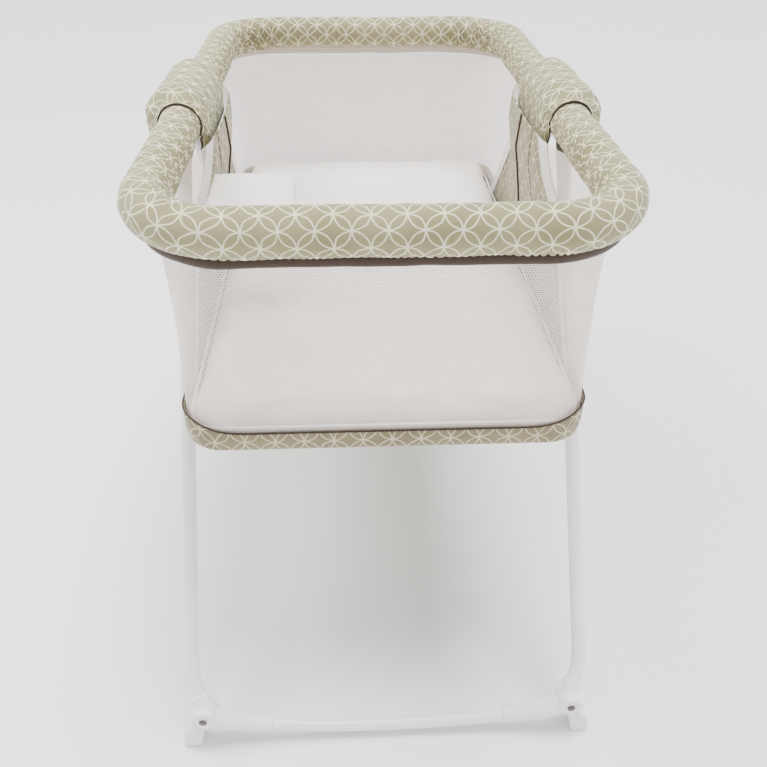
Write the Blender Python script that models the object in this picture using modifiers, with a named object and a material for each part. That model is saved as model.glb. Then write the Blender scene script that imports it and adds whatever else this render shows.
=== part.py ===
"""Bassinet on a folding rocker stand.

Two U-shaped padded rails and two pairs of legs swing from a hub on each long side.
Cloth walls hang from the rails and carry a stiff floor with a cushion on it.
Metres, +Z up, origin on the floor under the middle. X is across, Y is along.
"""
import math

import bmesh
import bpy
from mathutils import Vector
from mathutils.geometry import convex_hull_2d

# Rail: centre line of the padded rim
RAIL_Z = 0.690
RAIL_HALF_WIDTH = 0.245
RAIL_HALF_LENGTH = 0.405
RAIL_CORNER = 0.093
RAIL_TUBE_RADIUS = 0.008
RAIL_PAD_RADIUS = 0.025
PAD_SIDES = 12
TUBE_WALL = 0.0012

# Hubs: distances along Y and Z from the middle of the hub, at rail height
RAIL_PIVOT_Y = 0.060
LEG_PIVOT_Y = 0.013
LEG_PIVOT_DROP = 0.0125
HUB_BOSS_RADIUS = 0.018
PIN_RADIUS = 0.0040
HUB_INNER_X = (0.2235, 0.2295)
HUB_OUTER_X = (0.2705, 0.2765)
RAIL_KNUCKLE_X = (0.2320, 0.2580)
RAIL_KNUCKLE_RADIUS = 0.013
RAIL_KNUCKLE_ARM = 0.0165
RAIL_KNUCKLE_TIP = 0.0075
LEG_KNUCKLE_X = (0.2425, 0.2685)
LEG_KNUCKLE_RADIUS = 0.012
LEG_KNUCKLE_ARM = 0.015
LEG_KNUCKLE_TIP = 0.009
TUBE_SETBACK = 0.0243
PAD_SETBACK = 0.0280
LATCH_RISE = 0.008
LATCH_STEM_RADIUS = 0.0030
LATCH_HOLE_RADIUS = 0.0034
LATCH_CAP_RADIUS = 0.0088
LATCH_CAP_HEIGHT = 0.0062
LATCH_COLLAR_RADIUS = 0.0062
LATCH_COLLAR_DEPTH = 0.0063
LATCH_COLLAR_THICKNESS = 0.003
SPRING_RADIUS = 0.0045
SPRING_WIRE = 0.0006
SPRING_END_GAP = 0.001
COVER_HALF_LENGTH = 0.085
COVER_MID_X = 0.2515
COVER_HALF_WIDTH = 0.0365
COVER_TOP = 0.034
COVER_HEM_DROP = 0.058

# Legs and rockers
LEG_X = 0.2555
LEG_RADIUS = 0.0095
LEG_WALL = 0.0014
SCREW_X = 0.240
SCREW_Y = 0.507
SCREW_Z = 0.060
LEG_BEND_LENGTH = 0.068
LEG_BEND_RADIUS = 0.105
ROCKER_LOW_Z = 0.0175
ROCKER_CURVE = 0.45
ROCKER_RADIUS = 0.0086
ROCKER_END_X = 0.1535
SHOE_RADIUS = 0.0160
SHOE_DEPTH = 0.026
SOCKET_LENGTH = 0.024
SOCKET_RADIUS = 0.0125
SHOE_ARM_RADIUS = 0.0100
SHOE_ARM_WIDEST = 1.45
SHOE_ARM_NARROWEST = 0.97
SHOE_ARM_DROP = 0.004
EAR_THICKNESS = 0.004
EAR_TOP_RADIUS = 0.012
EAR_TIP_RADIUS = 0.009
SCREW_HEAD_RADIUS = 0.0050
SCREW_HEAD_HEIGHT = 0.0030
FOOT_PIVOT_X = 0.2505
FOOT_PIVOT_Z = 0.0365
FOOT_WIDTH = 0.024
FOOT_HUB_RADIUS = 0.0085
FOOT_SHOULDER = (0.0105, -0.0110)
FOOT_SHOULDER_RADIUS = 0.0070
FOOT_SOLE_X = (0.0040, 0.0145)
FOOT_HEEL_RADIUS = 0.0070

# Basket: outline of the cloth at the floor and just under the rail
BASKET_DROP = 0.280
BASE_HALF_WIDTH = 0.2335
BASE_HALF_LENGTH = 0.395
BASE_CORNER = 0.045
TRAY_RIM = 0.026
TRAY_WALL = 0.0030
BOARD_THICKNESS = 0.006
PAD_TOP_DROP = 0.227
PAD_INSET = 0.008
PAD_ROUNDING = 0.010
CLOTH = 0.003
WALL_TOP_DROP = 0.0275
WALL_TOP_HALF_WIDTH = 0.2335
WALL_TOP_HALF_LENGTH = 0.3955
WALL_TOP_CORNER = 0.080
WALL_HOLLOW = 0.006
WALL_LEVELS = 5
PANEL_TOP_Y = 0.115
PANEL_FOOT_Y = 0.310
PANEL_TOP_X = 0.2075
PANEL_UPRIGHT_FROM = 0.82
PANEL_LEAN_Y = 0.17

GAP = 0.0003
SEAM = 0.0012
MERGE = 0.00005
SIDES = (("left", -1), ("right", 1))
ENDS = (("near", -1), ("far", 1))

COLOURS = {
    "white_paint": ((0.86, 0.86, 0.85), 0.30, 0.0),
    "bare_steel": ((0.55, 0.55, 0.56), 0.35, 1.0),
    "white_plastic": ((0.88, 0.88, 0.87), 0.40, 0.0),
    "dark_plastic": ((0.05, 0.05, 0.055), 0.50, 0.0),
    "dark_screw": ((0.08, 0.07, 0.08), 0.35, 1.0),
    "sage_fabric": ((0.52, 0.50, 0.38), 0.90, 0.0),
    "mesh_fabric": ((0.88, 0.84, 0.80), 0.90, 0.0),
    "pad_fabric": ((0.93, 0.90, 0.87), 0.90, 0.0),
    "board": ((0.45, 0.35, 0.25), 0.80, 0.0),
}


# ---------------------------------------------------------------- scene helpers

def clear_scene():
    for item in list(bpy.data.objects):
        bpy.data.objects.remove(item)


def make_material(name):
    colour, roughness, metallic = COLOURS[name]
    made = bpy.data.materials.new(name)
    made.use_nodes = True
    shader = made.node_tree.nodes["Principled BSDF"]
    shader.inputs["Base Color"].default_value = (*colour, 1.0)
    shader.inputs["Roughness"].default_value = roughness
    shader.inputs["Metallic"].default_value = metallic
    return made


def add_collection(name):
    made = bpy.data.collections.new(name)
    bpy.context.scene.collection.children.link(made)
    return made


def add_object(name, data, material, pivot=None):
    """A named part; its points are in the object's frame, and it hangs from its pivot."""
    made = bpy.data.objects.new(name, data)
    PARTS.objects.link(made)
    data.materials.append(MATERIALS[material])
    if pivot is not None:
        made.parent = pivot
        made.location = -pivot.location
    return made


def add_pivot(name, location, parent=None):
    made = bpy.data.objects.new(name, None)
    made.empty_display_size = 0.02
    GUIDES.objects.link(made)
    made.location = location
    if parent is not None:
        made.parent = parent
        made.matrix_parent_inverse.translation = -parent.location
    return made


def smooth(mesh, degrees=35):
    mesh.shade_smooth()
    mesh.set_sharp_from_angle(angle=math.radians(degrees))


def as_mesh(piece):
    """Replace a curve object by the welded mesh of its evaluated form."""
    bpy.context.view_layer.update()
    graph = bpy.context.evaluated_depsgraph_get()
    mesh = bpy.data.meshes.new_from_object(piece.evaluated_get(graph))
    work = bmesh.new()
    work.from_mesh(mesh)
    bmesh.ops.remove_doubles(work, verts=work.verts, dist=MERGE)
    bmesh.ops.recalc_face_normals(work, faces=work.faces)
    work.to_mesh(mesh)
    work.free()
    name = piece.name
    parent = piece.parent
    place = piece.matrix_world.copy()
    collection = piece.users_collection[0]
    bpy.data.objects.remove(piece)
    made = bpy.data.objects.new(name, mesh)
    collection.objects.link(made)
    if parent is not None:
        made.parent = parent
    made.matrix_world = place
    smooth(mesh)
    return made


def combine(piece, tool, operation):
    """Join a tool to a piece, or cut it away, with a Boolean."""
    for collection in list(tool.users_collection):
        collection.objects.unlink(tool)
    CUTTERS.objects.link(tool)
    tool.hide_render = True
    tool.display_type = "WIRE"
    step = piece.modifiers.new(operation.title(), "BOOLEAN")
    step.object = tool
    step.operation = operation
    step.solver = "EXACT"


# ---------------------------------------------------------------- shape helpers

def circle(centre, radius, steps=24):
    turn = 2 * math.pi / steps
    return [(centre[0] + radius * math.cos(i * turn), centre[1] + radius * math.sin(i * turn))
            for i in range(steps)]


def around(discs, steps=24):
    """The outline of a band stretched around discs, each given as (centre, radius)."""
    points = [point for centre, radius in discs for point in circle(centre, radius, steps)]
    return [points[i] for i in convex_hull_2d([Vector(point) for point in points])]


def rod(name, points, radius, material, pivot=None, wall=None, rings=2):
    """A round rod or tube along a path; with a wall it is hollow and open at its ends."""
    data = bpy.data.curves.new(name, "CURVE")
    data.dimensions = "3D"
    data.bevel_depth = radius
    data.bevel_resolution = rings
    data.use_fill_caps = wall is None
    line = data.splines.new("POLY")
    line.points.add(len(points) - 1)
    for place, point in zip(line.points, points):
        place.co = (*point, 1.0)
    line.use_smooth = True
    made = add_object(name, data, material, pivot)
    if wall is not None:
        shell = made.modifiers.new("Wall", "SOLIDIFY")
        shell.thickness = wall
        shell.offset = -1
        shell.use_even_offset = True
    return made


def plate(name, loops, depth, material, place, turn, pivot=None, rounding=0.0):
    """A flat outline with holes, centred on its place and thick along its own Z."""
    data = bpy.data.curves.new(name, "CURVE")
    data.dimensions = "2D"
    data.fill_mode = "BOTH"
    data.extrude = depth / 2 - rounding
    data.bevel_depth = rounding
    data.bevel_resolution = 1
    data.offset = -rounding
    for loop in loops:
        line = data.splines.new("POLY")
        line.points.add(len(loop) - 1)
        for spot, point in zip(line.points, loop):
            spot.co = (point[0], point[1], 0.0, 1.0)
        line.use_cyclic_u = True
    made = add_object(name, data, material, pivot)
    made.location += Vector(place)
    made.rotation_euler = turn
    return made


ACROSS = (math.pi / 2, 0.0, math.pi / 2)      # outline in Y and Z, thick along X
ALONG = (math.pi / 2, 0.0, 0.0)               # outline in X and Z, thick along Y
LEVEL = (0.0, 0.0, 0.0)                       # outline in X and Y, thick along Z


def cylinder(name, radius, start, end, material, pivot=None, sides=20):
    """A round bar between two points."""
    start = Vector(start)
    end = Vector(end)
    work = bmesh.new()
    bmesh.ops.create_cone(work, cap_ends=True, segments=sides, radius1=radius,
                          radius2=radius, depth=(end - start).length)
    mesh = bpy.data.meshes.new(name)
    work.to_mesh(mesh)
    work.free()
    smooth(mesh)
    made = add_object(name, mesh, material, pivot)
    made.location += (start + end) / 2
    made.rotation_euler = (end - start).to_track_quat("Z", "Y").to_euler()
    return made


def turned(name, profile, material, place, axis, pivot=None, steps=20):
    """A round piece from (radius, height) points that run down its outside."""
    work = bmesh.new()
    line = [work.verts.new((radius, 0.0, height)) for radius, height in profile]
    for first, second in zip(line, line[1:]):
        work.edges.new((first, second))
    mesh = bpy.data.meshes.new(name)
    work.to_mesh(mesh)
    work.free()
    made = add_object(name, mesh, material, pivot)
    made.location += Vector(place)
    made.rotation_euler = Vector(axis).to_track_quat("Z", "Y").to_euler()
    spin = made.modifiers.new("Turn", "SCREW")
    spin.steps = steps
    spin.render_steps = steps
    spin.use_merge_vertices = True
    spin.merge_threshold = MERGE
    spin.use_smooth_shade = True
    return made


def sheet(name, rows, thickness, material, pivot=None):
    """Cloth: a surface through rows of points, thickened equally to both sides."""
    work = bmesh.new()
    grid = [[work.verts.new(point) for point in row] for row in rows]
    for lower, upper in zip(grid, grid[1:]):
        for i in range(len(lower) - 1):
            work.faces.new((lower[i], lower[i + 1], upper[i + 1], upper[i]))
    mesh = bpy.data.meshes.new(name)
    work.to_mesh(mesh)
    work.free()
    smooth(mesh)
    made = add_object(name, mesh, material, pivot)
    shell = made.modifiers.new("Cloth", "SOLIDIFY")
    shell.thickness = thickness
    shell.offset = 0
    shell.use_even_offset = True
    return made


def u_path(half_width, half_length, corner, start, end_sign, arc_steps=5, straight_steps=1):
    """Plan points of a U from one long side, around the end, to the other long side."""
    quarter = []
    for i in range(arc_steps + 1):
        angle = math.pi / 2 * i / arc_steps
        quarter.append((half_width - corner + corner * math.cos(angle),
                        half_length - corner + corner * math.sin(angle)))
    side = [(half_width, start + (half_length - corner - start) * i / straight_steps)
            for i in range(straight_steps)]
    right = side + quarter
    left = [(-x, y) for x, y in reversed(right)]
    return [(x, end_sign * y) for x, y in right + [(0.0, half_length)] + left]


# ---------------------------------------------------------------- hubs

def hub_discs(side_of_hub):
    """The bosses around one end's rail pivot and leg pivot."""
    return [((side_of_hub * RAIL_PIVOT_Y, 0.0), HUB_BOSS_RADIUS),
            ((side_of_hub * LEG_PIVOT_Y, -LEG_PIVOT_DROP), HUB_BOSS_RADIUS)]


def build_hub(side, sign):
    outline = around(hub_discs(-1) + hub_discs(1))
    inner_mid = sum(HUB_INNER_X) / 2
    outer_mid = sum(HUB_OUTER_X) / 2
    thickness = HUB_INNER_X[1] - HUB_INNER_X[0]
    stem_hole = circle((0.0, LATCH_RISE), LATCH_HOLE_RADIUS, 16)
    plate(f"{side}_hub_outer", [outline, stem_hole], thickness, "dark_plastic",
          (sign * outer_mid, 0.0, RAIL_Z), ACROSS)
    inner = as_mesh(plate(f"{side}_hub_inner", [outline], thickness, "dark_plastic",
                          (sign * inner_mid, 0.0, RAIL_Z), ACROSS))
    pin_start = sign * inner_mid
    pin_end = sign * (HUB_OUTER_X[0] - GAP)
    for number, (y, z) in enumerate(pivot_places()):
        pin = cylinder(f"{side}_pin_{number}", PIN_RADIUS, (pin_start, y, RAIL_Z + z),
                       (pin_end, y, RAIL_Z + z), "dark_plastic", sides=16)
        combine(inner, pin, "UNION")
    build_hub_cover(side, sign)


def pivot_places():
    """Y and Z of every pin, from the middle of the hub at rail height."""
    return [(end * RAIL_PIVOT_Y, 0.0) for _, end in ENDS] + [
        (end * LEG_PIVOT_Y, -LEG_PIVOT_DROP) for _, end in ENDS]


def build_hub_cover(side, sign):
    """A cloth saddle over the hub, open below for the legs and at both ends for the rails."""
    rows = []
    for step in range(5):
        y = -COVER_HALF_LENGTH + step * COVER_HALF_LENGTH / 2
        bulge = 1.0 + 0.05 * math.cos(math.pi * y / (2 * COVER_HALF_LENGTH))
        rows.append([(sign * (COVER_MID_X + x * (bulge if x > 0 else 1.0)), y, RAIL_Z + z * bulge)
                     for x, z in cover_section()])
    sheet(f"{side}_hub_cover", rows, CLOTH, "sage_fabric")


def cover_section(arc_steps=8):
    """Across and up: from the inner hem, over the top, to the outer hem."""
    top = []
    for i in range(arc_steps + 1):
        angle = math.pi * (1 - i / arc_steps)
        top.append((COVER_HALF_WIDTH * math.cos(angle), COVER_TOP * math.sin(angle)))
    return ([(-COVER_HALF_WIDTH, -COVER_HEM_DROP)] + top
            + [(COVER_HALF_WIDTH, -COVER_HEM_DROP / 2), (COVER_HALF_WIDTH, -COVER_HEM_DROP)])


def build_latch(side, sign):
    """The release button in the hub, pushed in against a coil spring."""
    z = RAIL_Z + LATCH_RISE
    pivot = add_pivot(f"{side}_latch", (sign * HUB_OUTER_X[1], 0.0, z))
    cap_low = LATCH_CAP_HEIGHT - 0.0028
    cap_edge = LATCH_CAP_HEIGHT - 0.0012
    collar_low = -LATCH_COLLAR_DEPTH - LATCH_COLLAR_THICKNESS
    profile = [(0.0, LATCH_CAP_HEIGHT), (LATCH_CAP_RADIUS - 0.0028, LATCH_CAP_HEIGHT),
               (LATCH_CAP_RADIUS, cap_edge), (LATCH_CAP_RADIUS, cap_low),
               (LATCH_STEM_RADIUS, cap_low), (LATCH_STEM_RADIUS, -LATCH_COLLAR_DEPTH),
               (LATCH_COLLAR_RADIUS, -LATCH_COLLAR_DEPTH),
               (LATCH_COLLAR_RADIUS, collar_low), (0.0, collar_low)]
    button = turned(f"{side}_latch_button", profile, "white_plastic",
                    (sign * HUB_OUTER_X[1], 0.0, z), (sign, 0.0, 0.0), pivot)
    button.location = (0.0, 0.0, 0.0)
    start = HUB_INNER_X[1] + SPRING_END_GAP
    end = HUB_OUTER_X[1] + collar_low - SPRING_END_GAP
    rod(f"{side}_latch_spring", coil(sign, start, end, z), SPRING_WIRE, "bare_steel", rings=1)


def coil(sign, start, end, z, turns=6, points_per_turn=10, radius=SPRING_RADIUS):
    count = turns * points_per_turn
    points = []
    for i in range(count + 1):
        angle = 2 * math.pi * i / points_per_turn
        points.append((sign * (start + (end - start) * i / count),
                       radius * math.cos(angle), z + radius * math.sin(angle)))
    return points


# ---------------------------------------------------------------- rails

def build_rail(end, end_sign):
    """One U of the rim: a steel tube in a padded sleeve, with a knuckle at each hub."""
    pivot = add_pivot(f"{end}_rail_pivot", (0.0, end_sign * RAIL_PIVOT_Y, RAIL_Z))
    tube_start = RAIL_PIVOT_Y + TUBE_SETBACK
    pad_start = RAIL_PIVOT_Y + PAD_SETBACK

    def path(start, steps):
        plan = u_path(RAIL_HALF_WIDTH, RAIL_HALF_LENGTH, RAIL_CORNER, start, end_sign, steps)
        return [(x, y, RAIL_Z) for x, y in plan]

    rod(f"{end}_rail_tube", path(tube_start, 6), RAIL_TUBE_RADIUS, "bare_steel", pivot, TUBE_WALL, 1)
    flat_radius = RAIL_PAD_RADIUS * math.cos(math.pi / PAD_SIDES)
    rod(f"{end}_rail_pad", path(pad_start, 6), RAIL_PAD_RADIUS, "sage_fabric", pivot,
        flat_radius - RAIL_TUBE_RADIUS - 2 * GAP, rings=PAD_SIDES // 2 - 2)
    middle = sum(RAIL_KNUCKLE_X) / 2
    for side, sign in SIDES:
        discs = [((0.0, 0.0), RAIL_KNUCKLE_RADIUS),
                 ((end_sign * RAIL_KNUCKLE_ARM, 0.0), RAIL_KNUCKLE_TIP)]
        plate(f"{end}_{side}_rail_knuckle", [around(discs), circle((0.0, 0.0), PIN_RADIUS + GAP, 16)],
              RAIL_KNUCKLE_X[1] - RAIL_KNUCKLE_X[0], "dark_plastic",
              (sign * middle, end_sign * RAIL_PIVOT_Y, RAIL_Z), ACROSS, pivot)


# ---------------------------------------------------------------- basket

def wall_half_width(height):
    """Half the basket's width at a height from 0, the floor, to 1, the rail."""
    straight = BASE_HALF_WIDTH + (WALL_TOP_HALF_WIDTH - BASE_HALF_WIDTH) * height
    return straight - CLOTH / 2 - WALL_HOLLOW * math.sin(math.pi * height)


def wall_half_length(height):
    straight = BASE_HALF_LENGTH + (WALL_TOP_HALF_LENGTH - BASE_HALF_LENGTH) * height
    return straight - CLOTH / 2 - WALL_HOLLOW * math.sin(math.pi * height)


def panel_edge(height):
    """How far along Y the side panel reaches at a height from 0 to 1."""
    return PANEL_FOOT_Y + (PANEL_TOP_Y - PANEL_FOOT_Y) * height


def panel_x(y, height):
    """The side panel leans inward at the top, where it passes inside the hub."""
    near_hub = max(0.0, 1.0 - (abs(y) / PANEL_LEAN_Y) ** 4)
    lean = near_hub * min(1.0, height / PANEL_UPRIGHT_FROM) ** 2
    return wall_half_width(height) * (1 - lean) + PANEL_TOP_X * lean


def wall_z(height):
    low = RAIL_Z - BASKET_DROP + TRAY_RIM + GAP
    return low + (RAIL_Z - WALL_TOP_DROP - low) * height


def spread(first, last, count):
    return [first + (last - first) * i / (count - 1) for i in range(count)]


def closed_path(inset):
    """Plan points of the whole floor's edge, moved in from the outside by an inset."""
    near = u_path(BASE_HALF_WIDTH - inset, BASE_HALF_LENGTH - inset, BASE_CORNER - inset, 0.0, -1)
    far = [(-x, -y) for x, y in near]
    return near[:-1] + far[:-1]


def build_tray():
    """The cloth floor of the basket, with a low band standing up around its edge."""
    low = RAIL_Z - BASKET_DROP
    work = bmesh.new()
    foot = [work.verts.new((x, y, low)) for x, y in closed_path(0.0)]
    rim = [work.verts.new((x, y, low + TRAY_RIM)) for x, y in closed_path(0.0)]
    count = len(foot)
    for i in range(count):
        following = (i + 1) % count
        work.faces.new((foot[following], foot[i], rim[i], rim[following]))
    work.faces.new(foot)
    mesh = bpy.data.meshes.new("floor_tray")
    work.to_mesh(mesh)
    work.free()
    smooth(mesh)
    made = add_object("floor_tray", mesh, "sage_fabric")
    shell = made.modifiers.new("Cloth", "SOLIDIFY")
    shell.thickness = TRAY_WALL
    shell.offset = -1
    shell.use_even_offset = True


def build_floor():
    """A cloth tray with a stiff board and a padded cushion in it."""
    build_tray()
    board_low = RAIL_Z - BASKET_DROP + TRAY_WALL + GAP
    plate("floor_board", [closed_path(TRAY_WALL + GAP)], BOARD_THICKNESS, "board",
          (0.0, 0.0, board_low + BOARD_THICKNESS / 2), LEVEL)
    cushion_low = board_low + BOARD_THICKNESS + GAP
    cushion_height = RAIL_Z - PAD_TOP_DROP - cushion_low
    plate("cushion", [closed_path(PAD_INSET)], cushion_height, "pad_fabric",
          (0.0, 0.0, cushion_low + cushion_height / 2), LEVEL, rounding=PAD_ROUNDING)


def build_walls(end, end_sign):
    """The mesh end wall and the two side panels between a rail and the floor."""
    heights = spread(0.0, 1.0, WALL_LEVELS)
    rows = []
    for height in heights:
        start = panel_edge(height) + SEAM
        corner = BASE_CORNER + (WALL_TOP_CORNER - BASE_CORNER) * height
        plan = u_path(wall_half_width(height), wall_half_length(height), corner, start, end_sign)
        seam_x = panel_x(start, height)
        plan[0] = (seam_x, plan[0][1])
        plan[-1] = (-seam_x, plan[-1][1])
        rows.append([(x, y, wall_z(height)) for x, y in plan])
    sheet(f"{end}_mesh_wall", rows, CLOTH, "mesh_fabric")
    for side, sign in SIDES:
        rows = [[(sign * panel_x(y, height), end_sign * y, wall_z(height))
                 for y in spread(RAIL_PIVOT_Y + GAP, panel_edge(height) - SEAM, 5)]
                for height in heights]
        sheet(f"{end}_{side}_panel", rows, CLOTH, "sage_fabric")


def build_centre_panels():
    """The cloth under each hub, which stays put when a rail swings."""
    edge = RAIL_PIVOT_Y - GAP
    for side, sign in SIDES:
        rows = [[(sign * panel_x(y, height), y, wall_z(height)) for y in spread(-edge, edge, 4)]
                for height in spread(0.0, 1.0, WALL_LEVELS)]
        sheet(f"centre_{side}_panel", rows, CLOTH, "sage_fabric")


# ---------------------------------------------------------------- legs

def leg_axis(end_sign):
    """The leg's pivot, its unit direction in the plane of Y and Z, and its length."""
    top = Vector((0.0, end_sign * LEG_PIVOT_Y, RAIL_Z - LEG_PIVOT_DROP))
    foot = Vector((0.0, end_sign * SCREW_Y, SCREW_Z))
    return top, (foot - top).normalized(), (foot - top).length


def leg_point(end_sign, sign, distance):
    """A point on the leg's centre line, which curves inward just above the rocker."""
    top, direction, length = leg_axis(end_sign)
    beyond = max(0.0, distance - (length - LEG_BEND_LENGTH))
    point = top + direction * distance
    point.x = sign * (LEG_X - beyond ** 2 / (2 * LEG_BEND_RADIUS))
    return point


def rocker_z(x):
    """Height of the rocker bar's centre line: a shallow curve, lowest in the middle."""
    return ROCKER_LOW_Z + ROCKER_CURVE * x ** 2


def build_legs(end, end_sign):
    top, direction, length = leg_axis(end_sign)
    pivot = add_pivot(f"{end}_leg_pivot", top)
    for side, sign in SIDES:
        stops = [TUBE_SETBACK] + spread(length - LEG_BEND_LENGTH, length - SOCKET_LENGTH - 2 * SEAM, 5)
        rod(f"{end}_{side}_leg_tube", [leg_point(end_sign, sign, stop) for stop in stops],
            LEG_RADIUS, "white_paint", pivot, LEG_WALL, 2)
        build_leg_knuckle(end, end_sign, side, sign, direction, pivot)
        build_shoe(end, end_sign, side, sign, pivot)
        build_screw(end, end_sign, side, sign, pivot)
        build_foot(end, end_sign, side, sign, pivot)
    rocker = [(x, end_sign * SCREW_Y, rocker_z(x)) for x in spread(-ROCKER_END_X, ROCKER_END_X, 17)]
    rod(f"{end}_rocker_bar", rocker, ROCKER_RADIUS, "white_paint", pivot, LEG_WALL, 2)


def build_leg_knuckle(end, end_sign, side, sign, direction, pivot):
    tip = (direction.y * LEG_KNUCKLE_ARM, direction.z * LEG_KNUCKLE_ARM)
    discs = [((0.0, 0.0), LEG_KNUCKLE_RADIUS), (tip, LEG_KNUCKLE_TIP)]
    plate(f"{end}_{side}_leg_knuckle", [around(discs), circle((0.0, 0.0), PIN_RADIUS + GAP, 16)],
          LEG_KNUCKLE_X[1] - LEG_KNUCKLE_X[0], "dark_plastic",
          (sign * sum(LEG_KNUCKLE_X) / 2, end_sign * LEG_PIVOT_Y, RAIL_Z - LEG_PIVOT_DROP), ACROSS, pivot)


def build_shoe(end, end_sign, side, sign, pivot):
    """The moulding that joins leg and rocker bar, with an ear and pin for the foot."""
    name = f"{end}_{side}_shoe"
    length = leg_axis(end_sign)[2]
    y = end_sign * SCREW_Y
    half = SHOE_DEPTH / 2
    middle = (sign * SCREW_X, y, SCREW_Z)
    shoe = cylinder(name, SHOE_RADIUS, (sign * SCREW_X, y - half, SCREW_Z),
                    (sign * SCREW_X, y + half, SCREW_Z), "white_plastic", pivot, 24)
    mouth = leg_point(end_sign, sign, length - SOCKET_LENGTH)
    before = leg_point(end_sign, sign, length - SOCKET_LENGTH + 0.004)
    root = mouth + (before - mouth).normalized() * SOCKET_LENGTH
    combine(shoe, cylinder(f"{name}_socket", SOCKET_RADIUS, root, mouth, "white_plastic", pivot), "UNION")
    arm_stops = spread(SCREW_X - SHOE_ARM_DROP, ROCKER_END_X + SEAM, 7)
    arm = [(sign * x, y, shoe_arm_z(x)) for x in arm_stops]
    sleeve = rod(f"{name}_arm", arm, SHOE_ARM_RADIUS, "white_plastic", pivot, rings=3)
    widths = spread(SHOE_ARM_WIDEST, SHOE_ARM_NARROWEST, 7)
    for point, width in zip(sleeve.data.splines[0].points, widths):
        point.radius = width
    combine(shoe, as_mesh(sleeve), "UNION")
    inner_face = y - end_sign * (FOOT_WIDTH / 2 + GAP)
    ear_y = inner_face - end_sign * EAR_THICKNESS / 2
    ear_discs = [((sign * SCREW_X, SCREW_Z), EAR_TOP_RADIUS),
                 ((sign * FOOT_PIVOT_X, FOOT_PIVOT_Z), EAR_TIP_RADIUS)]
    ear = plate(f"{name}_ear", [around(ear_discs)], EAR_THICKNESS, "white_plastic",
                (0.0, ear_y, 0.0), ALONG, pivot)
    combine(shoe, as_mesh(ear), "UNION")
    pin_root = (sign * FOOT_PIVOT_X, ear_y, FOOT_PIVOT_Z)
    pin_tip = (sign * FOOT_PIVOT_X, y + end_sign * FOOT_WIDTH / 2, FOOT_PIVOT_Z)
    combine(shoe, cylinder(f"{name}_pin", PIN_RADIUS, pin_root, pin_tip, "white_plastic", pivot, 16),
            "UNION")


def shoe_arm_z(x):
    """The shoe's arm leaves the screw's height and settles onto the rocker bar."""
    along = (x - ROCKER_END_X) / (SCREW_X - ROCKER_END_X)
    return rocker_z(x) + (SCREW_Z - SHOE_ARM_DROP - rocker_z(SCREW_X)) * along ** 2


def build_screw(end, end_sign, side, sign, pivot):
    profile = [(0.0, SCREW_HEAD_HEIGHT), (0.6 * SCREW_HEAD_RADIUS, 0.93 * SCREW_HEAD_HEIGHT),
               (SCREW_HEAD_RADIUS, SCREW_HEAD_HEIGHT / 2), (SCREW_HEAD_RADIUS, 0.0), (0.0, 0.0)]
    face = end_sign * (SCREW_Y + SHOE_DEPTH / 2 + GAP)
    turned(f"{end}_{side}_screw", profile, "dark_screw", (sign * SCREW_X, face, SCREW_Z),
           (0.0, end_sign, 0.0), pivot)


def build_foot(end, end_sign, side, sign, pivot):
    """The foot that folds out beside the rocker and keeps it off the floor."""
    hinge = add_pivot(f"{end}_{side}_foot_pivot",
                      (sign * FOOT_PIVOT_X, end_sign * SCREW_Y, FOOT_PIVOT_Z))
    shoulder_x, shoulder_z = FOOT_SHOULDER
    heel_z = FOOT_HEEL_RADIUS - FOOT_PIVOT_Z
    discs = [((0.0, 0.0), FOOT_HUB_RADIUS), ((sign * shoulder_x, shoulder_z), FOOT_SHOULDER_RADIUS)]
    discs += [((sign * x, heel_z), FOOT_HEEL_RADIUS) for x in FOOT_SOLE_X]
    foot = plate(f"{end}_{side}_foot", [around(discs), circle((0.0, 0.0), PIN_RADIUS + GAP, 16)],
                 FOOT_WIDTH, "white_plastic", (0.0, 0.0, 0.0), ALONG, hinge)
    foot.location = (0.0, 0.0, 0.0)


def build():
    for side, sign in SIDES:
        build_hub(side, sign)
        build_latch(side, sign)
    build_floor()
    build_centre_panels()
    for end, end_sign in ENDS:
        build_rail(end, end_sign)
        build_walls(end, end_sign)
        build_legs(end, end_sign)


clear_scene()
PARTS = add_collection("bassinet")
CUTTERS = add_collection("cutters")
GUIDES = add_collection("pivots")
MATERIALS = {name: make_material(name) for name in COLOURS}
build()
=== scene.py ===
"""Looks for a bassinet on a folding rocker stand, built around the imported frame.

Metres, +Z up, X across, Y along; the near end, towards the camera, is at -Y.
"""
import math

import bmesh
import bpy
from mathutils import Matrix, Vector, noise


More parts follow.
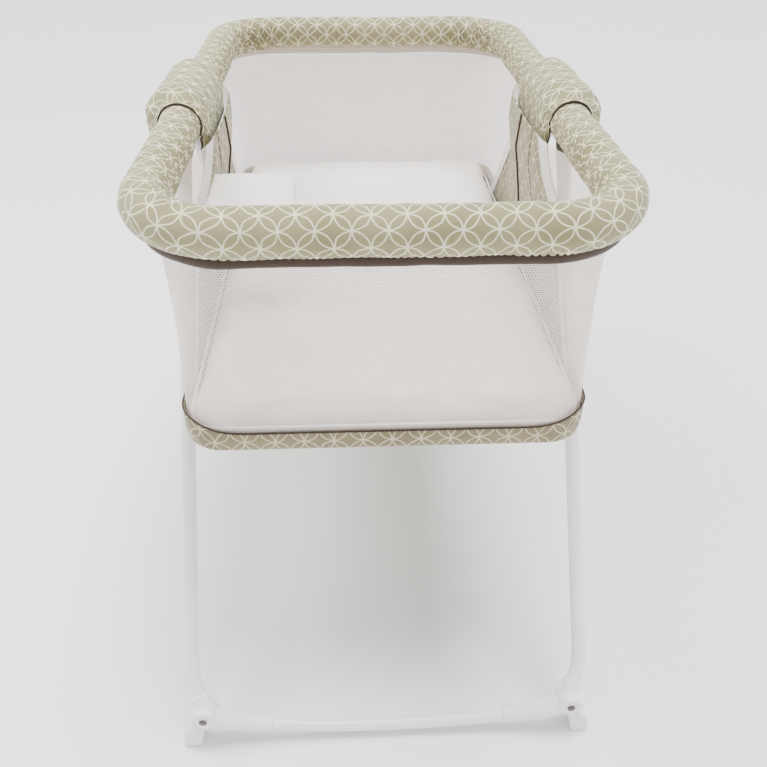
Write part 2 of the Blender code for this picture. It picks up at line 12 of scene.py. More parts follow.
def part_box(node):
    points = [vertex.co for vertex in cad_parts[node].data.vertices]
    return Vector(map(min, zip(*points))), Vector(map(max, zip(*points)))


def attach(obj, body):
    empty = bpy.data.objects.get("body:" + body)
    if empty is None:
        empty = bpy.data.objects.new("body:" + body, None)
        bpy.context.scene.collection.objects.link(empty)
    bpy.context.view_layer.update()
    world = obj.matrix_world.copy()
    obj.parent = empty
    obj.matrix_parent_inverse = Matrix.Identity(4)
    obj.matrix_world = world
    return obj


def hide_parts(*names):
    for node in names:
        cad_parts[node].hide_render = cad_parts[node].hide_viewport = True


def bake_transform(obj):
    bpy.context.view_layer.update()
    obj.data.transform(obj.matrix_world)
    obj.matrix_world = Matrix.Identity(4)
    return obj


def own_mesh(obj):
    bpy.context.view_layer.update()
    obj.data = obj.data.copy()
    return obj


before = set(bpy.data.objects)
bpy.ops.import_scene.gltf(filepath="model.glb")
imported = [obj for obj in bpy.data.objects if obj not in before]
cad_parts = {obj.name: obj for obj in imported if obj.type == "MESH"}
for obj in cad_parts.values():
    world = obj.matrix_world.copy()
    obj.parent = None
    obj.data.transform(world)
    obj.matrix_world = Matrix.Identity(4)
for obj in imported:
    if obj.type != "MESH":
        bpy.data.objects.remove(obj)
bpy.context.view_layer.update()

SIDES = (("left", -1), ("right", 1))
ENDS = (("near", -1), ("far", 1))

# ---------------------------------------------------------------- sizes read from the frame

RIM_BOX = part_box("near_rail_pad")
RIM_RADIUS = (RIM_BOX[1][2] - RIM_BOX[0][2]) / 2
RAIL_Z = (RIM_BOX[1][2] + RIM_BOX[0][2]) / 2
RAIL_HALF_WIDTH = RIM_BOX[1][0] - RIM_RADIUS
RAIL_HALF_LENGTH = -RIM_BOX[0][1] - RIM_RADIUS
RAIL_CORNER = 0.093
RAIL_PIVOT_Y = 0.060

TRAY_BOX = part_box("floor_tray")
BASE_Z = TRAY_BOX[0][2]
BASE_HALF_WIDTH = TRAY_BOX[1][0]
BASE_HALF_LENGTH = TRAY_BOX[1][1]
BASE_CORNER = 0.045

CUSHION_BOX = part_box("cushion")
COVER_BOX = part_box("right_hub_cover")

SCREW_Y = 0.507
SCREW_Z = 0.060
LEG_X = 0.2555
LEG_RADIUS = 0.0095
LEG_BEND_LENGTH = 0.068
LEG_BEND_RADIUS = 0.105
LEG_TOP = Vector((0.0, 0.013, RAIL_Z - 0.0125))

# Cloth walls
WALL_LOW_Z = BASE_Z + 0.012
WALL_TOP_Z = RAIL_Z - 0.020
WALL_HOLLOW = 0.003
WALL_TOP_CORNER = 0.080
PANEL_TOP_Y = 0.112
PANEL_FOOT_Y = 0.315
PANEL_TOP_X = 0.2065
PANEL_UPRIGHT_FROM = 0.82
PANEL_LEAN_Y = 0.17
BAND_LOW = 0.029
BAND_HIGH = 0.044

# Printed rings
RING_PITCH = 0.0335
RING_RADIUS = 0.0163
RING_LINE = 0.0015

# Gathers sewn into the rim cover
FOLD_PITCH = 0.0074
FOLD_DEPTH = 0.0046

# Cloth thicknesses and trims
PANEL_CLOTH = 0.0012
SLEEVE_CLOTH = 0.0020
STRIP_CLOTH = 0.0010
BAND_CLOTH = 0.0014
CARD_THICKNESS = 0.0008
TRIM_SIDES = 8
HEM_RADIUS = 0.0013
SLEEVE_RING_RADIUS = 0.0010
PANEL_PIPING_RADIUS = 0.0016
BAND_PIPING_RADIUS = 0.0011
CUSHION_PIPING_RADIUS = 0.0022
CENTRE_CREASE = 0.006
BAND_TURN_UNDER = 0.010
BAND_PROUD = 0.0012

# Cushion cover: cloth simulation, then its crown
CLOTH_VOXEL = 0.007
CLOTH_FRAMES = 20
CLOTH_PRESSURE = 3.0
CLOTH_STIFFNESS = 12
CLOTH_SHRINK = -0.03
CLOTH_MOVE_LIMIT = 0.006
CUSHION_CORNER_INSET = 0.055
CUSHION_CROWN = 0.004
CUSHION_CROWN_LIMIT = 0.008

# Blank card
CARD_LENGTH = 0.116
CARD_WIDTH = 0.065

WELD_DISTANCE = 1e-6


# ---------------------------------------------------------------- small helpers

def spread(first, last, count):
    return [first + (last - first) * i / (count - 1) for i in range(count)]


def ease(value, low=0.0, high=1.0):
    """0 below low, 1 above high, smooth between."""
    t = min(1.0, max(0.0, (value - low) / (high - low)))
    return t * t * (3 - 2 * t)


def wobble(x, y, z, size, seed=0.0):
    """Smooth noise from -1 to 1 whose lumps are about as large as size."""
    return noise.noise(Vector((x / size + seed, y / size - seed, z / size + 2 * seed)))


def crease(phase, level=0.5, sharpness=1.5):
    """A row of rounded folds between narrow creases, one fold for each half turn of phase."""
    return level - (1 - abs(math.sin(phase))) ** sharpness


def link(name, mesh, material):
    made = bpy.data.objects.new(name, mesh)
    bpy.context.scene.collection.objects.link(made)
    mesh.materials.append(material)
    return made


def grid_piece(name, rows, uvs, material, wrap=False, ends=False, thickness=0.0):
    """A smooth surface through rows of points, with a UV in metres for each point.

    wrap joins each row's last point to its first; ends closes the first and last row.
    """
    count = len(rows[0])
    points = [point for row in rows for point in row]
    flat_uvs = [uv for row in uvs for uv in row]
    faces = []
    corner_uvs = []
    around = count if wrap else count - 1
    for j in range(len(rows) - 1):
        for i in range(around):
            following = (i + 1) % count
            low = j * count
            high = low + count
            face = (low + i, low + following, high + following, high + i)
            faces.append(face)
            corners = [flat_uvs[index] for index in face]
            if following == 0:
                step = flat_uvs[j * count + 1][1] - flat_uvs[j * count][1]
                step_u = flat_uvs[j * count + 1][0] - flat_uvs[j * count][0]
                corners[1] = (corners[0][0] + step_u, corners[0][1] + step)
                corners[2] = (corners[3][0] + step_u, corners[3][1] + step)
            corner_uvs.append(corners)
    if ends:
        first = tuple(reversed(range(count)))
        last = tuple((len(rows) - 1) * count + i for i in range(count))
        for face in (first, last):
            faces.append(face)
            corner_uvs.append([flat_uvs[index] for index in face])
    mesh = bpy.data.meshes.new(name)
    mesh.from_pydata(points, [], faces)
    layer = mesh.uv_layers.new(name="UVMap")
    loop = 0
    for corners in corner_uvs:
        for uv in corners:
            layer.data[loop].uv = uv
            loop += 1
    mesh.shade_smooth()
    made = link(name, mesh, material)
    if thickness:
        shell = made.modifiers.new("Cloth", "SOLIDIFY")
        shell.thickness = thickness
        shell.offset = 0
        apply_modifiers(made)
    return made


def apply_modifiers(piece):
    graph = bpy.context.evaluated_depsgraph_get()
    graph.update()
    made = bpy.data.meshes.new_from_object(piece.evaluated_get(graph))
    piece.modifiers.clear()
    piece.data = made


def tube(name, points, radius, material, sides=12, closed=False, ends=True):
    """A round tube along points; radius may be a number or one for each point."""
    radii = [radius] * len(points) if isinstance(radius, (int, float)) else radius
    path = [Vector(point) for point in points]
    count = len(path)
    rows = []
    uvs = []
    length = 0.0
    side = None
    for i, point in enumerate(path):
        before = path[i - 1] if i or closed else path[i]
        after = path[(i + 1) % count] if i < count - 1 or closed else path[i]
        along = (after - before).normalized()
        if side is None:
            guide = Vector((0, 0, 1)) if abs(along.z) < 0.9 else Vector((1, 0, 0))
            side = along.cross(guide).normalized()
        side = (side - along * side.dot(along)).normalized()
        up = side.cross(along)
        if i:
            length += (point - path[i - 1]).length
        row = []
        for k in range(sides):
            angle = 2 * math.pi * k / sides
            row.append(point + (side * math.cos(angle) + up * math.sin(angle)) * radii[i])
        rows.append(row)
        uvs.append([(length, 2 * math.pi * radii[i] * k / sides) for k in range(sides)])
    if closed:
        rows.append(rows[0])
        uvs.append(uvs[0])
        return weld(grid_piece(name, rows, uvs, material, wrap=True))
    return grid_piece(name, rows, uvs, material, wrap=True, ends=ends)


def weld(piece):
    work = bmesh.new()
    work.from_mesh(piece.data)
    bmesh.ops.remove_doubles(work, verts=work.verts, dist=WELD_DISTANCE)
    work.to_mesh(piece.data)
    work.free()
    return piece


def join(name, pieces):
    """Make one piece of several; it keeps their materials."""
    work = bmesh.new()
    materials = []
    for piece in pieces:
        start = len(work.faces)
        for material in piece.data.materials:
            if material not in materials:
                materials.append(material)
        index = materials.index(piece.data.materials[0])
        work.from_mesh(piece.data)
        work.faces.ensure_lookup_table()
        for face in work.faces[start:]:
            face.material_index = index
    mesh = bpy.data.meshes.new(name)
    work.to_mesh(mesh)
    work.free()
    for piece in pieces:
        bpy.data.objects.remove(piece)
    made = bpy.data.objects.new(name, mesh)
    bpy.context.scene.collection.objects.link(made)
    for material in materials:
        mesh.materials.append(material)
    return made


def surface_area(piece):
    return sum(face.area for face in piece.data.polygons)


# ---------------------------------------------------------------- materials

class Nodes:
    """Builds a material's node tree with short calls."""

    def __init__(self, name, roughness, **settings):
        self.material = bpy.data.materials.new(name)
        self.material.use_nodes = True
        self.tree = self.material.node_tree
        self.shader = self.tree.nodes["Principled BSDF"]
        self.shader.inputs["Roughness"].default_value = roughness
        for socket, value in settings.items():
            self.shader.inputs[socket.replace("_", " ")].default_value = value

    def add(self, kind, **settings):
        made = self.tree.nodes.new(kind)
        for key, value in settings.items():
            setattr(made, key, value)
        return made

    def wire(self, source, target):
        self.tree.links.new(source, target)

    def math(self, operation, first, second=None, third=None):
        made = self.add("ShaderNodeMath", operation=operation)
        for socket, value in zip(made.inputs, (first, second, third)):
            if value is None:
                continue
            if isinstance(value, (int, float)):
                socket.default_value = value
            else:
                self.wire(value, socket)
        return made.outputs[0]

    def vector(self, operation, first, second=None):
        made = self.add("ShaderNodeVectorMath", operation=operation)
        for socket, value in zip(made.inputs, (first, second)):
            if value is None:
                continue
            if isinstance(value, tuple):
                socket.default_value = value
            else:
                self.wire(value, socket)
        return made.outputs[0]

    def scaled(self, source, scale):
        made = self.add("ShaderNodeVectorMath", operation="SCALE")
        self.wire(source, made.inputs[0])
        made.inputs["Scale"].default_value = scale
        return made.outputs[0]

    def uv(self):
        return self.add("ShaderNodeTexCoord").outputs["UV"]

    def place(self):
        return self.add("ShaderNodeTexCoord").outputs["Object"]

    def noise(self, where, scale, detail=2.0, roughness=0.5):
        made = self.add("ShaderNodeTexNoise")
        self.wire(where, made.inputs["Vector"])
        made.inputs["Scale"].default_value = scale
        made.inputs["Detail"].default_value = detail
        made.inputs["Roughness"].default_value = roughness
        return made.outputs["Fac"]

    def mix(self, factor, first, second):
        """Mix two colours; the node's colour sockets are inputs 6 and 7 and output 2."""
        made = self.add("ShaderNodeMix", data_type="RGBA")
        sockets = (made.inputs[0], made.inputs[6], made.inputs[7])
        for socket, value in zip(sockets, (factor, first, second)):
            if isinstance(value, (int, float)):
                socket.default_value = value
            elif isinstance(value, tuple):
                socket.default_value = (*value, 1.0)
            else:
                self.wire(value, socket)
        return made.outputs[2]

    def fade(self, value, low, high):
        """0 below low, 1 above high, smooth between; high may be the smaller one."""
        made = self.add("ShaderNodeMapRange", interpolation_type="SMOOTHSTEP")
        self.wire(value, made.inputs["Value"])
        made.inputs["From Min"].default_value = low
        made.inputs["From Max"].default_value = high
        return made.outputs["Result"]

    def colour(self, source):
        self.wire(source, self.shader.inputs["Base Color"])

    def bump(self, height, strength, distance):
        made = self.add("ShaderNodeBump")
        made.inputs["Strength"].default_value = strength
        made.inputs["Distance"].default_value = distance
        self.wire(height, made.inputs["Height"])
        self.wire(made.outputs[0], self.shader.inputs["Normal"])

    def weave(self, where, pitch):
        """Height of a plain weave: threads along both directions of the cloth."""
        parts = self.add("ShaderNodeSeparateXYZ")
        self.wire(where, parts.inputs[0])
        turns = 2 * math.pi / pitch
        across = self.math("SINE", self.math("MULTIPLY", parts.outputs[0], turns))
        along = self.math("SINE", self.math("MULTIPLY", parts.outputs[1], turns))
        return self.math("MULTIPLY", across, along)


def ring_mask(nodes, where, shift):
    """One lattice of printed circles, each inside its own square cell."""
    moved = nodes.vector("ADD", nodes.scaled(where, 1 / RING_PITCH), (shift, shift, 0.0))
    cell = nodes.vector("SUBTRACT", nodes.vector("FRACTION", moved), (0.5, 0.5, 0.0))
    parts = nodes.add("ShaderNodeSeparateXYZ")
    nodes.wire(cell, parts.inputs[0])
    x_squared = nodes.math("MULTIPLY", parts.outputs[0], parts.outputs[0])
    y_squared = nodes.math("MULTIPLY", parts.outputs[1], parts.outputs[1])
    distance = nodes.math("SQRT", nodes.math("ADD", x_squared, y_squared))
    off_line = nodes.math("ABSOLUTE", nodes.math("SUBTRACT", distance, RING_RADIUS / RING_PITCH))
    half = RING_LINE / 2 / RING_PITCH
    return nodes.fade(off_line, half * 1.25, half * 0.75)


def ring_fabric(name, ground, ring, ground_dark):
    """Woven cotton printed with interlocking rings."""
    nodes = Nodes(name, 0.88, Sheen_Weight=0.25, Sheen_Roughness=0.45, Specular_IOR_Level=0.25)
    where = nodes.uv()
    drift = nodes.noise(where, 55.0, 1.0)
    centred = nodes.vector("SUBTRACT", drift, (0.5, 0.5, 0.5))
    pull = nodes.vector("MULTIPLY", centred, (0.0034, 0.0034, 0.0))
    printed = nodes.vector("ADD", where, pull)
    rings = nodes.math("MAXIMUM", ring_mask(nodes, printed, 0.0), ring_mask(nodes, printed, 0.5))
    weave = nodes.weave(where, 0.0011)
    slub = nodes.noise(where, 900.0, 3.0, 0.65)
    stain = nodes.noise(where, 14.0, 3.0)
    tone = nodes.mix(nodes.fade(stain, 0.35, 0.7), ground, ground_dark)
    threads = nodes.math("ADD", nodes.math("MULTIPLY", slub, 0.5), nodes.math("MULTIPLY", weave, 0.12))
    tone = nodes.mix(nodes.math("MULTIPLY", threads, 0.35), tone, ground_dark)
    worn = nodes.math("MULTIPLY", rings, nodes.math("ADD", 0.78, nodes.math("MULTIPLY", slub, 0.3)))
    nodes.colour(nodes.mix(worn, tone, ring))
    height = nodes.math("ADD", nodes.math("MULTIPLY", threads, 0.6), nodes.math("MULTIPLY", rings, 0.25))
    nodes.bump(height, 0.35, 0.0006)
    return nodes.material


def net_fabric(name, thread, pitch, hole):
    """Knitted net: holes in staggered rows, made by transparency."""
    nodes = Nodes(name, 0.9, Sheen_Weight=0.3, Specular_IOR_Level=0.2)
    where = nodes.uv()
    masks = []
    for shift in (0.0, 0.5):
        cells = nodes.vector("MULTIPLY", where, (1 / pitch, 1 / (pitch * math.sqrt(3)), 0.0))
        moved = nodes.vector("ADD", cells, (shift, shift, 0.0))
        cell = nodes.vector("SUBTRACT", nodes.vector("FRACTION", moved), (0.5, 0.5, 0.0))
        square = nodes.vector("MULTIPLY", cell, (1.0, math.sqrt(3), 0.0))
        parts = nodes.add("ShaderNodeSeparateXYZ")
        nodes.wire(square, parts.inputs[0])
        x_squared = nodes.math("MULTIPLY", parts.outputs[0], parts.outputs[0])
        y_squared = nodes.math("MULTIPLY", parts.outputs[1], parts.outputs[1])
        distance = nodes.math("SQRT", nodes.math("ADD", x_squared, y_squared))
        masks.append(nodes.fade(distance, hole * 1.12, hole * 0.88))
    holes = nodes.math("MAXIMUM", masks[0], masks[1])
    tone = nodes.noise(where, 30.0, 2.0)
    dark = tuple(channel * 0.93 for channel in thread)
    nodes.colour(nodes.mix(nodes.fade(tone, 0.35, 0.65), thread, dark))
    nodes.wire(nodes.math("SUBTRACT", 1.0, holes), nodes.shader.inputs["Alpha"])
    nodes.bump(nodes.noise(where, 1400.0, 2.0), 0.3, 0.0003)
    nodes.material.use_backface_culling = False
    return nodes.material


def soft_cloth(name, colour, shade, weave_pitch=0.0009):
    """Plain soft cloth with a faint blotchy shade."""
    nodes = Nodes(name, 0.92, Sheen_Weight=0.3, Sheen_Roughness=0.4, Specular_IOR_Level=0.2)
    where = nodes.place()
    blotch = nodes.fade(nodes.noise(where, 9.0, 3.0), 0.3, 0.75)
    fuzz = nodes.noise(where, 700.0, 3.0, 0.7)
    tone = nodes.mix(nodes.math("MULTIPLY", blotch, 0.6), colour, shade)
    nodes.colour(nodes.mix(nodes.math("MULTIPLY", fuzz, 0.12), tone, shade))
    weave = nodes.weave(where, weave_pitch)
    nodes.bump(nodes.math("ADD", fuzz, nodes.math("MULTIPLY", weave, 0.3)), 0.3, 0.0005)
    return nodes.material


def tape(name, colour, light):
    """Ribbed grosgrain tape: fine ribs across its length."""
    nodes = Nodes(name, 0.85, Sheen_Weight=0.2, Specular_IOR_Level=0.25)
    where = nodes.uv()
    parts = nodes.add("ShaderNodeSeparateXYZ")
    nodes.wire(where, parts.inputs[0])
    ribs = nodes.math("SINE", nodes.math("MULTIPLY", parts.outputs[0], 2 * math.pi / 0.0014))
    fuzz = nodes.noise(where, 500.0, 3.0)
    nodes.colour(nodes.mix(nodes.math("MULTIPLY", fuzz, 0.5), colour, light))
    nodes.bump(nodes.math("ADD", nodes.math("MULTIPLY", ribs, 0.3), fuzz), 0.4, 0.0005)
    return nodes.material


def painted_metal(name, colour, dust):
    """Powder-coated steel: a slight orange peel and a little dust."""
    nodes = Nodes(name, 0.32, Coat_Weight=0.25, Coat_Roughness=0.2)
    where = nodes.place()
    peel = nodes.noise(where, 420.0, 2.0)
    film = nodes.fade(nodes.noise(where, 16.0, 4.0), 0.45, 0.8)
    nodes.colour(nodes.mix(nodes.math("MULTIPLY", film, 0.35), colour, dust))
    rough = nodes.math("ADD", 0.28, nodes.math("MULTIPLY", film, 0.15))
    nodes.wire(rough, nodes.shader.inputs["Roughness"])
    nodes.bump(peel, 0.12, 0.0004)
    return nodes.material


def moulded_plastic(name, colour, shade, roughness):
    """Injection-moulded plastic with a fine spark-eroded grain."""
    nodes = Nodes(name, roughness)
    where = nodes.place()
    grain = nodes.noise(where, 1500.0, 2.0)
    cloud = nodes.fade(nodes.noise(where, 25.0, 3.0), 0.4, 0.75)
    nodes.colour(nodes.mix(nodes.math("MULTIPLY", cloud, 0.4), colour, shade))
    rough = nodes.math("ADD", roughness - 0.05, nodes.math("MULTIPLY", grain, 0.12))
    nodes.wire(rough, nodes.shader.inputs["Roughness"])
    nodes.bump(grain, 0.2, 0.0002)
    return nodes.material


def bare_metal(name, colour, roughness):
    nodes = Nodes(name, roughness, Metallic=1.0)
    where = nodes.place()
    streak = nodes.noise(nodes.vector("MULTIPLY", where, (1.0, 0.1, 1.0)), 800.0, 2.0)
    dark = tuple(channel * 0.7 for channel in colour)
    nodes.colour(nodes.mix(streak, colour, dark))
    nodes.bump(streak, 0.1, 0.0002)
    return nodes.material


SAGE = ring_fabric("sage_ring_fabric", (0.30, 0.275, 0.150), (0.72, 0.71, 0.50), (0.24, 0.215, 0.11))
SAGE_DARK = ring_fabric("base_ring_fabric", (0.25, 0.215, 0.125), (0.58, 0.54, 0.38), (0.20, 0.17, 0.095))
NET = net_fabric("cream_net", (0.90, 0.80, 0.73), 0.0030, 0.31)
WHITE_COTTON = soft_cloth("white_cotton", (0.93, 0.90, 0.87), (0.90, 0.83, 0.77))
VINYL_STRIP = soft_cloth("seam_strip", (0.80, 0.78, 0.76), (0.70, 0.67, 0.64))
BROWN_TAPE = tape("brown_tape", (0.030, 0.018, 0.012), (0.08, 0.05, 0.035))
WHITE_PAINT = painted_metal("white_paint", (0.86, 0.86, 0.855), (0.74, 0.73, 0.70))
WHITE_PLASTIC = moulded_plastic("white_plastic", (0.87, 0.87, 0.865), (0.80, 0.80, 0.79), 0.42)
DARK_PLASTIC = moulded_plastic("dark_plastic", (0.035, 0.035, 0.038), (0.06, 0.06, 0.06), 0.5)
STEEL = bare_metal("bare_steel", (0.62, 0.62, 0.63), 0.35)
DARK_STEEL = bare_metal("dark_screw", (0.16, 0.13, 0.15), 0.4)
BOARD = soft_cloth("grey_board", (0.35, 0.30, 0.24), (0.28, 0.24, 0.19))


# ---------------------------------------------------------------- plan shapes

def u_shape(half_width, half_length, corner, start, end_sign, step=0.006):
    """Points, outward directions and lengths along a U from the right side round to the left."""
    straight = half_length - corner - start
    arc = math.pi / 2 * corner
    across = 2 * (half_width - corner)
    total = 2 * straight + 2 * arc + across
    count = max(8, int(round(total / step)))
    found = []
    for i in range(count + 1):
        s = total * i / count
        found.append((*u_point(s, half_width, half_length, corner, start, end_sign), s))
    return found


def u_point(s, half_width, half_length, corner, start, end_sign):
    """The point and outward direction at a distance s along that U."""
    straight = half_length - corner - start
    arc = math.pi / 2 * corner
    across = 2 * (half_width - corner)
    mirrored = s > straight + arc + across / 2
    if mirrored:
        s = 2 * straight + 2 * arc + across - s
    if s < straight:
        x, y, normal = half_width, start + s, (1.0, 0.0)
    elif s < straight + arc:
        angle = (s - straight) / corner
        x = half_width - corner + corner * math.cos(angle)
        y = half_length - corner + corner * math.sin(angle)
        normal = (math.cos(angle), math.sin(angle))
    else:
        x, y, normal = half_width - corner - (s - straight - arc), half_length, (0.0, 1.0)
    flip = -1 if mirrored else 1
    return (flip * x, end_sign * y), (flip * normal[0], end_sign * normal[1])


# ---------------------------------------------------------------- padded rim

def rim_radius(s, total, angle, end_sign):
    """Distance from the rail's centre line to the cloth; angle 0 is outside, 90 degrees the top."""
    to_end = min(s, total - s)
    on_side = ease(to_end, 0.44, 0.30)
    corner = ease(abs(to_end - 0.33), 0.12, 0.02)
    inside = ease(-math.cos(angle - 0.5), -0.35, 0.75)
    below = ease(-math.sin(angle), 0.3, 0.95)
    wander = 1.3 * wobble(s, 0.02 * angle, end_sign, 0.035, 3.1)
    phase = math.pi * s / FOLD_PITCH + 0.8 * math.sin(2 * angle) + math.pi * wander
    fold = crease(phase, level=0.55, sharpness=1.6)
    gathered = 0.10 + on_side * inside + 0.5 * corner * inside + 0.35 * below
    if end_sign > 0:
        gathered += 0.45 * inside
    patch = 0.50 + 0.9 * abs(wobble(s, 0.02 * angle, 0.0, 0.03, 7.7 + end_sign))
    lumps = 0.0010 * wobble(s, 0.03 * angle, 0.3, 0.06, 1.3 + end_sign)
    lumps += 0.0006 * wobble(s, 0.02 * angle, 0.7, 0.018, 5.3 + end_sign)
    necked = 0.0030 * ease(to_end, 0.014, 0.0)
    return RIM_RADIUS - 0.0008 + FOLD_DEPTH * gathered * patch * fold + lumps - necked


def build_rim(end, end_sign, sides=56):
    start = RAIL_PIVOT_Y + 0.0165
    path = u_shape(RAIL_HALF_WIDTH, RAIL_HALF_LENGTH, RAIL_CORNER, start, end_sign, step=0.0020)
    total = path[-1][2]
    rows = []
    uvs = []
    for (x, y), (nx, ny), s in path:
        row = []
        for k in range(sides):
            angle = -math.pi / 2 + 2 * math.pi * k / sides
            reach = rim_radius(s, total, angle, end_sign)
            out = reach * math.cos(angle)
            up = reach * math.sin(angle)
            row.append((x + nx * out, y + ny * out, RAIL_Z + up))
        rows.append(row)
        uvs.append([(s, 2 * math.pi * RIM_RADIUS * k / sides) for k in range(sides)])
    rim = grid_piece(f"{end}_rim", rows, uvs, SAGE, wrap=True, ends=True)
    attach(rim, f"{end}_rail")
    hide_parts(f"{end}_rail_pad")


def build_binding(end, end_sign):
    """Brown tape folded under the rim, where the net is sewn in."""
    start = RAIL_PIVOT_Y + 0.030
    path = u_shape(RAIL_HALF_WIDTH, RAIL_HALF_LENGTH, RAIL_CORNER, start, end_sign, step=0.005)
    section = [(0.0070, 0.0055), (0.0078, -0.0010), (0.0064, -0.0075), (0.0030, -0.0100),
               (-0.0010, -0.0080), (-0.0020, -0.0010), (-0.0010, 0.0045)]
    rows = []
    uvs = []
    for (x, y), (nx, ny), s in path:
        sag = -0.0010 + 0.0012 * wobble(s, 0.0, end_sign, 0.05, 2.2)
        lean = 0.0010 * wobble(s, 0.5, end_sign, 0.03, 4.2)
        foot = RAIL_Z - RIM_RADIUS - 0.0005
        row = [(x + nx * (out + lean), y + ny * (out + lean), foot + up + sag) for out, up in section]
        rows.append(row)
        uvs.append([(s, 0.004 * i) for i in range(len(section))])
    binding = grid_piece(f"{end}_rim_binding", rows, uvs, BROWN_TAPE, wrap=True, ends=True)
    rounding = binding.modifiers.new("Round", "SUBSURF")
    rounding.levels = 1
    rounding.render_levels = 1
    apply_modifiers(binding)
    binding.data.shade_smooth()
    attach(binding, f"{end}_rail")


# ---------------------------------------------------------------- hub sleeves

COVER_OUTER_X = COVER_BOX[1][0] - 0.0020
COVER_INNER_X = COVER_BOX[0][0] + 0.0020
COVER_TOP = COVER_BOX[1][2] - RAIL_Z - 0.0015
COVER_HALF_LENGTH = COVER_BOX[1][1] + 0.015
COVER_SNUG = RIM_RADIUS + 0.0014
COVER_HEM = 0.056


def cover_point(sign, y, t):
    """On the hub sleeve: t runs from 0 at the inner hem, over the top, to 1 at the outer hem.

    Its ends are snug round the rim; between them it bulges over the hub and hangs lower.
    """
    along = abs(y) / COVER_HALF_LENGTH
    bulge = ease(along, 1.0, 0.70)
    turn = math.radians(232) * (0.5 - t)
    snug = Vector((-COVER_SNUG * math.sin(turn), COVER_SNUG * math.cos(turn)))
    leg = 0.26
    down = max(0.0, 1 - t / leg, (t - 1 + leg) / leg)
    drawn_in = 1.0 - 0.34 * ease(down, 0.45, 1.15)
    if t < leg:
        full = Vector((-drawn_in, -COVER_HEM * down))
    elif t > 1 - leg:
        full = Vector((drawn_in, -COVER_HEM * down))
    else:
        angle = math.pi * (1 - (t - leg) / (1 - 2 * leg))
        full = Vector((math.cos(angle), COVER_TOP * math.sin(angle)))
    middle = (COVER_OUTER_X + COVER_INNER_X) / 2 - RAIL_HALF_WIDTH
    full.x = middle + full.x * (COVER_OUTER_X - COVER_INNER_X) / 2
    x, z = snug.lerp(full, bulge)
    wander = 1.5 * wobble(y, 0.2 * t, sign, 0.04, 8.0)
    gather = crease(34 * t + math.pi * wander)
    pleats = 0.0017 * gather * ease(along, 0.25, 0.9) * ease(along, 1.0, 0.9)
    pleats += 0.0014 * crease(math.pi * y / 0.0085 + 5 * wander) * ease(t, 0.50, 0.25)
    pleats += 0.0016 * crease(math.pi * y / 0.0105 + 4 * wander) * ease(down, 0.2, 0.9)
    lumps = 0.0024 * wobble(y, 0.15 * t, sign, 0.030, 6.0) * ease(along, 1.0, 0.85)
    scale = 1.0 + (pleats + lumps) / max(0.01, math.hypot(x, z))
    return (sign * (RAIL_HALF_WIDTH + x * scale), y, RAIL_Z + z * scale)


def build_hub_sleeve(end, end_sign, side, sign):
    """Half of a hub's sleeve, from the middle of the hub to where it meets the rim."""
    body_end = end_sign * COVER_HALF_LENGTH
    stops = spread(0.0, body_end, 56)
    turns = spread(0.0, 1.0, 101)
    rows = [[cover_point(sign, y, t) for t in turns] for y in stops]
    uvs = [[(y + 0.3, 0.20 * t) for t in turns] for y in stops]
    sleeve = grid_piece(f"{end}_{side}_hub_sleeve", rows, uvs, SAGE, thickness=SLEEVE_CLOTH)
    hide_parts(f"{side}_hub_cover")
    trims = []
    for t in (0.0, 1.0):
        hem = [cover_point(sign, y, t) for y in stops]
        trims.append(tube("hem", hem, HEM_RADIUS, BROWN_TAPE, sides=TRIM_SIDES))
    for y in (body_end, body_end * 0.93):
        ring = [cover_point(sign, y, t) for t in turns]
        trims.append(tube("ring", ring, SLEEVE_RING_RADIUS, BROWN_TAPE, sides=TRIM_SIDES))
    piping = join(f"{end}_{side}_hub_sleeve_piping", trims)
    for piece in (sleeve, piping):
        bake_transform(piece)


# ---------------------------------------------------------------- walls

def wall_z(height):
    return WALL_LOW_Z + (WALL_TOP_Z - WALL_LOW_Z) * height


def wall_bow(height):
    return WALL_HOLLOW * math.sin(math.pi * min(1.0, max(0.0, height)))


def wall_half_width(height):
    return BASE_HALF_WIDTH - 0.0006 - wall_bow(height) + 0.003 * height


def wall_half_length(height):
    return BASE_HALF_LENGTH - 0.0006 - wall_bow(height) + 0.004 * height


def panel_edge(height):
    """How far along Y the side panel reaches; its edge bows a little."""
    return PANEL_FOOT_Y + (PANEL_TOP_Y - PANEL_FOOT_Y) * height - 0.012 * math.sin(math.pi * height)


def panel_x(y, height):
    near_hub = max(0.0, 1.0 - (abs(y) / PANEL_LEAN_Y) ** 4)
    lean = near_hub * min(1.0, height / PANEL_UPRIGHT_FROM) ** 2
    return wall_half_width(height) * (1 - lean) + PANEL_TOP_X * lean


def cloth_ripple(x, y, z, seed):
    """Slack in hung cloth: long folds that run up and down."""
    long_folds = 0.0016 * wobble(x + y, 0.3 * z, 0.0, 0.05, seed)
    return long_folds + 0.0007 * wobble(x - y, 0.6 * z, 0.1, 0.02, seed)


